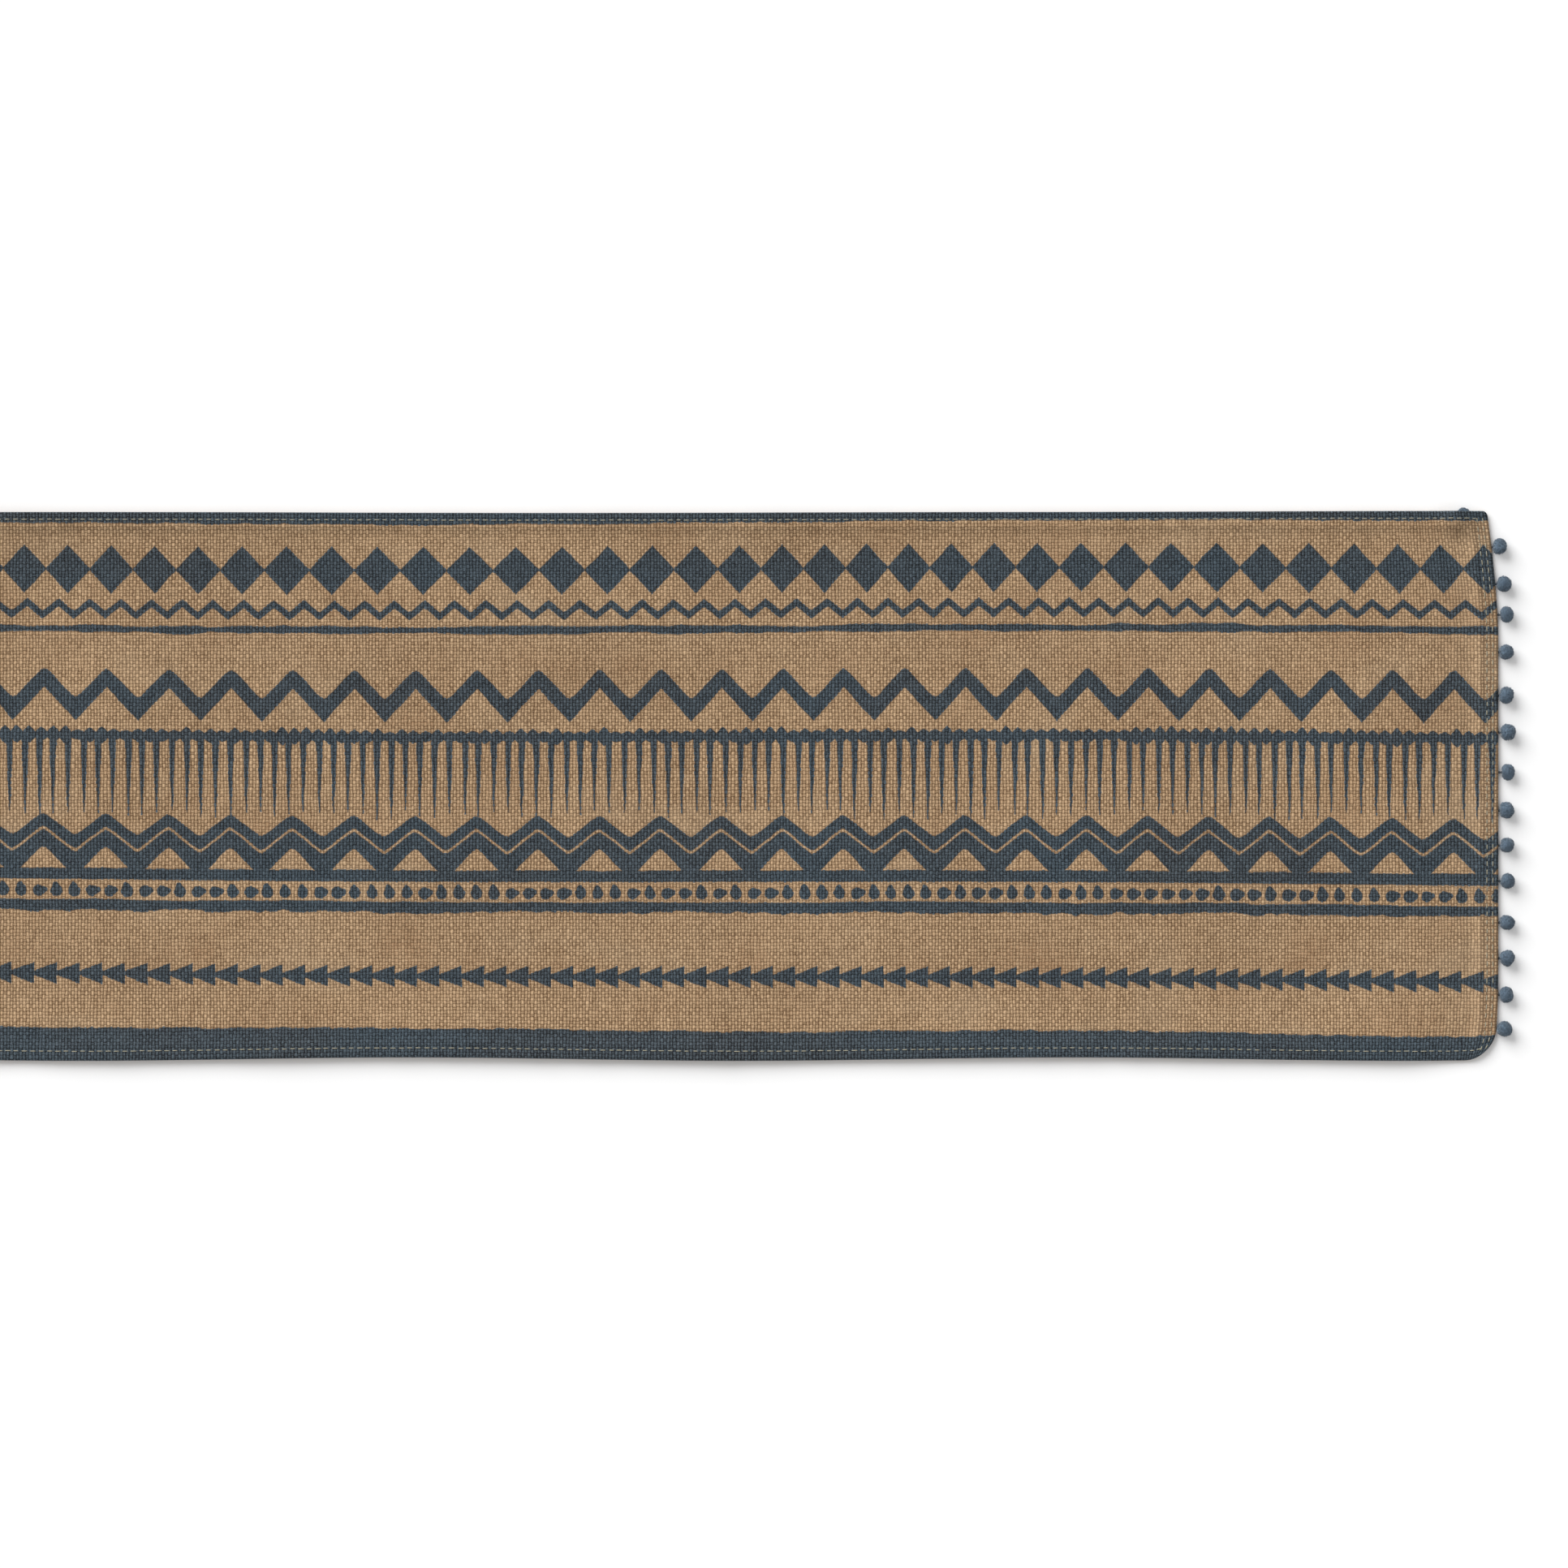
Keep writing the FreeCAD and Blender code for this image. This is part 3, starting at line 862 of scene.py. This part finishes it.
# ------------------------------------------------------------------ the pompom tape
def tape(name, side):
    """The woven strip under an end hem, between the hem and the table."""
    low, high = box_of(f"pompom_tape_{name}")
    v_lines = np.linspace(low.y, high.y, 141)
    insets = np.array([0.9, 1.2, 3.0, 5.5, 8.0, 10.5, 11.6, 11.9]) * MM
    v, inset = np.meshgrid(v_lines, insets, indexing="ij")
    u = side * (HALF_LENGTH - inset)
    x, y = outline(u, v)
    stand = lift(u, v) + tucked_pompom_lift(u, v)
    selvedge = np.where((inset < 1 * MM) | (inset > 11.7 * MM), 0.5, 1.0)
    middle = stand + TAPE / 2
    half = (TAPE / 2 - 0.02 * MM) * selvedge
    rows, columns = u.shape
    upper = np.stack([x, y, middle + half], axis=-1).reshape(-1, 3)
    lower = np.stack([x, y, middle - half], axis=-1).reshape(-1, 3)
    count = rows * columns
    index = np.arange(count).reshape(rows, columns)
    mirrored = side < 0
    faces = [grid_faces(rows, columns, flip=not mirrored),
             grid_faces(rows, columns, count, flip=mirrored)]
    loops = np.concatenate([index[:, 0], index[-1, 1:], index[::-1, -1][1:], index[0, ::-1][1:-1]])
    following = np.roll(loops, -1)
    wall = np.stack([loops, following, following + count, loops + count], axis=-1)
    faces.append(wall if mirrored else wall[:, ::-1])
    plan = np.stack([u.ravel(), v.ravel()], axis=-1)
    strip = add_object(f"tape_{name}", np.concatenate([upper, lower]), np.concatenate(faces),
                       [TAPE_CLOTH], uv=np.concatenate([plan, plan]))
    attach(strip, f"end_{name}")
    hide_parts(f"pompom_tape_{name}")


for side_name, side in SIDES:
    tape(side_name, side)


# ------------------------------------------------------------------ the pompoms
BALL_RADIUS = 5.25 * MM
TUFTS = 900                     # clipped yarn ends that stand on one ball
TIE_TWIST = 3.2 * MM            # length in which a tie's two strands turn once
STRAND_OFFSET = 0.42 * MM       # of a strand from the middle of the tie
STRAND_RADIUS = 0.50 * MM
TIE_IN_BALL = 2.4 * MM          # the tie stops this far from the ball's middle
FLOOR_GAP = 0.02 * MM           # nothing of a ball lies lower than this


def ball_radius_at(direction, lumps):
    """Trimmed by hand: slightly lumpy, and pinched where the tie goes in (-X)."""
    along, phase = lumps
    lumpy = np.sin(direction @ along.T + phase).sum(axis=1) * 0.022
    from_tie = np.arccos(np.clip(-direction[:, 0], -1, 1))
    pinch = 0.26 * np.exp(-(from_tie / 0.42) ** 2)
    return BALL_RADIUS * (0.93 + lumpy) * (1 - pinch)


def ball_mesh(rng):
    """A lumpy core with clipped yarn ends standing on it, tie towards -X."""
    lumps = (rng.normal(0, 2.4, (7, 3)), rng.uniform(0, 2 * math.pi, 7))
    rings, spokes = 22, 40
    polar = np.linspace(0, math.pi, rings + 1)[1:-1]
    turn = np.arange(spokes) * 2 * math.pi / spokes
    polar, turn = np.meshgrid(polar, turn, indexing="ij")
    direction = np.stack([np.cos(polar), np.sin(polar) * np.cos(turn),
                          np.sin(polar) * np.sin(turn)], -1)
    direction = np.concatenate([direction.reshape(-1, 3), [[1, 0, 0], [-1, 0, 0]]])
    grain = rng.uniform(0.955, 1.035, len(direction))
    vertices = direction * (ball_radius_at(direction, lumps) * grain)[:, None]
    faces = []
    for ring in range(rings - 2):
        for spoke in range(spokes):
            a = ring * spokes + spoke
            b = ring * spokes + (spoke + 1) % spokes
            faces.append((a, a + spokes, b + spokes, b))
    tip, root = len(vertices) - 2, len(vertices) - 1
    last = (rings - 2) * spokes
    for spoke in range(spokes):
        after = (spoke + 1) % spokes
        faces.append((spoke, after, tip))
        faces.append((last + after, last + spoke, root))

    z = rng.uniform(-1, 1, TUFTS)
    around = rng.uniform(0, 2 * math.pi, TUFTS)
    flat = np.sqrt(1 - z * z)
    out = np.stack([z, flat * np.cos(around), flat * np.sin(around)], -1)
    surface = ball_radius_at(out, lumps)
    lean = out + rng.normal(0, 0.30, (TUFTS, 3))
    lean = lean / np.linalg.norm(lean, axis=1)[:, None]
    side = np.cross(lean, rng.normal(0, 1, (TUFTS, 3)))
    side = side / np.linalg.norm(side, axis=1)[:, None]
    other = np.cross(lean, side)
    length = rng.uniform(0.25, 0.75, TUFTS) * MM
    thick = rng.uniform(0.14, 0.26, TUFTS) * MM
    foot = out * (surface - 0.35 * MM)[:, None]
    end = out * (surface - 0.1 * MM)[:, None] + lean * length[:, None]
    corners = []
    for middle, radius in ((foot, thick), (end, 0.55 * thick)):
        for angle in (0.0, 2 * math.pi / 3, 4 * math.pi / 3):
            spread = side * math.cos(angle) + other * math.sin(angle)
            corners.append(middle + spread * radius[:, None])
    tufts = np.stack(corners, axis=1).reshape(-1, 3)
    start = len(vertices)
    for tuft in range(TUFTS):
        a = start + 6 * tuft
        faces += [(a, a + 1, a + 4, a + 3), (a + 1, a + 2, a + 5, a + 4), (a + 2, a, a + 3, a + 5)]
        faces += [(a + 2, a + 1, a), (a + 3, a + 4, a + 5)]
    return np.concatenate([vertices, tufts]), faces


def tie_mesh(root, head):
    """Two strands of yarn twisted together, from root to head; their dark colour is painted shade of
    the pompom's neck.
    """
    root, head = np.asarray(root), np.asarray(head)
    run = head - root
    length = np.linalg.norm(run)
    forward = run / length
    sideways = np.cross([0, 0, 1], forward)
    sideways = sideways / np.linalg.norm(sideways)
    upward = np.cross(forward, sideways)
    vertices, faces = [], []
    sections, ring = 13, 7

    def beside(angle):
        return sideways * math.cos(angle) + upward * math.sin(angle)

    for strand in range(2):
        base = len(vertices)
        for t in np.linspace(0, 1, sections):
            twist = 2 * math.pi * (length / TIE_TWIST) * t + strand * math.pi
            centre = root + run * t + STRAND_OFFSET * beside(twist)
            for k in range(ring):
                vertices.append(centre + STRAND_RADIUS * beside(2 * math.pi * k / ring))
        faces += tube_faces(base, sections, ring)
    return np.array(vertices), faces


def pompom(name, body, tucked):
    """One pompom on its tie, placed from its own solid; a tucked one is held under the hem."""
    low, high = box_of(name)
    middle = (low + high) / 2
    end = 1 if middle.x > 0 else -1
    rng = np.random.default_rng(sum(map(ord, name)) * 7 + int(name[-2:]))
    shape, faces = ball_mesh(rng)
    if tucked:
        centre = np.array([middle.x, end * (HALF_WIDTH - 3.6 * MM), 3.05 * MM])
        yaw = math.atan2(0.25 * end, -end)
        root = centre + np.array([end * 8.5 * MM, -end * 2.0 * MM, 0.6 * MM])
        squeeze = np.array([1.0, 1.0, 0.56])
    else:
        edge_x, _ = outline(np.array([end * HALF_LENGTH]), np.array([middle.y]))
        drawn_in = edge_x[0] - end * HALF_LENGTH
        ball_x = (high.x if end > 0 else low.x) - end * BALL_RADIUS
        out = end * rng.uniform(-0.9, 0.3) * MM
        centre = np.array([ball_x + drawn_in - end * SLACK + out, middle.y, BALL_RADIUS])
        yaw = (0 if end > 0 else math.pi) + rng.uniform(-0.25, 0.25)
        root = np.array([edge_x[0] - end * 0.7 * MM, middle.y, 1.0 * MM])
        squeeze = rng.uniform((0.88, 0.92, 0.88), (1.04, 1.06, 0.99))
        centre[2] = BALL_RADIUS * squeeze[2]
    turn = np.array(Matrix.Rotation(yaw, 3, "Z"))
    ball = (shape * squeeze) @ turn.T + centre
    toward_root = (root - centre) / np.linalg.norm(root - centre)
    tie, tie_faces = tie_mesh(root, centre + toward_root * TIE_IN_BALL)
    ball[:, 2] = np.maximum(ball[:, 2], FLOOR_GAP)
    start = len(ball)
    faces = faces + [tuple(start + k for k in face) for face in tie_faces]
    part = np.repeat([0, 1], [len(faces) - len(tie_faces), len(tie_faces)])
    made = add_object(f"{name}_yarn", np.concatenate([ball, tie]), faces, [YARN, TIE_YARN],
                      face_material=part)
    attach(made, body)
    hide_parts(name)


for side_name, side in SIDES:
    pompom(f"pompom_{side_name}_01", f"end_{side_name}", tucked=True)
for joint in frame["joints"]:
    if joint["child"].startswith("pompom_"):
        pompom(joint["child"], joint["child"], tucked=False)


# ------------------------------------------------------------------ table, light and camera
def table_top():
    """A plain white table, larger than any view of it."""
    reach = 12.0
    corners = [(-reach, -reach, 0), (reach, -reach, 0), (reach, reach, 0), (-reach, reach, 0)]
    m = Material("white_table", roughness=0.9, specular=0.0)
    m.shader.inputs["Base Color"].default_value = (0.90, 0.90, 0.90, 1.0)
    top = add_object("table_top", corners, [(0, 1, 2, 3)], [m.material])
    top.location.z = -0.0004


def sun(name, direction, strength, angle):
    """Broad soft light that shines along direction; angle is its width in degrees."""
    data = bpy.data.lights.new(name, "SUN")
    data.energy = strength
    data.angle = math.radians(angle)
    lamp = bpy.data.objects.new(name, data)
    lamp.rotation_mode = "QUATERNION"
    lamp.rotation_quaternion = Vector(direction).to_track_quat("-Z", "Y")
    bpy.context.scene.collection.objects.link(lamp)


table_top()
sun("key_light", direction=(0.55, -0.62, -0.47), strength=3.6, angle=50)
world = bpy.data.worlds.new("studio")
world.use_nodes = True
sky = world.node_tree.nodes["Background"]
sky.inputs["Color"].default_value = (1.0, 1.0, 1.0, 1.0)
sky.inputs["Strength"].default_value = 0.61
bpy.context.scene.world = world

VIEW_WIDTH = 1.018
VIEW_CENTRE_X = 0.452
CAMERA_HEIGHT = 6.0
lens = bpy.data.cameras.new("camera")
lens.sensor_width = 36
lens.lens = 36 * CAMERA_HEIGHT / VIEW_WIDTH
lens.clip_start = 0.1
lens.clip_end = 100
camera = bpy.data.objects.new("camera", lens)
camera.location = (VIEW_CENTRE_X, 0, CAMERA_HEIGHT)
bpy.context.scene.collection.objects.link(camera)
bpy.context.scene.camera = camera
bpy.context.scene.view_settings.view_transform = "Standard"
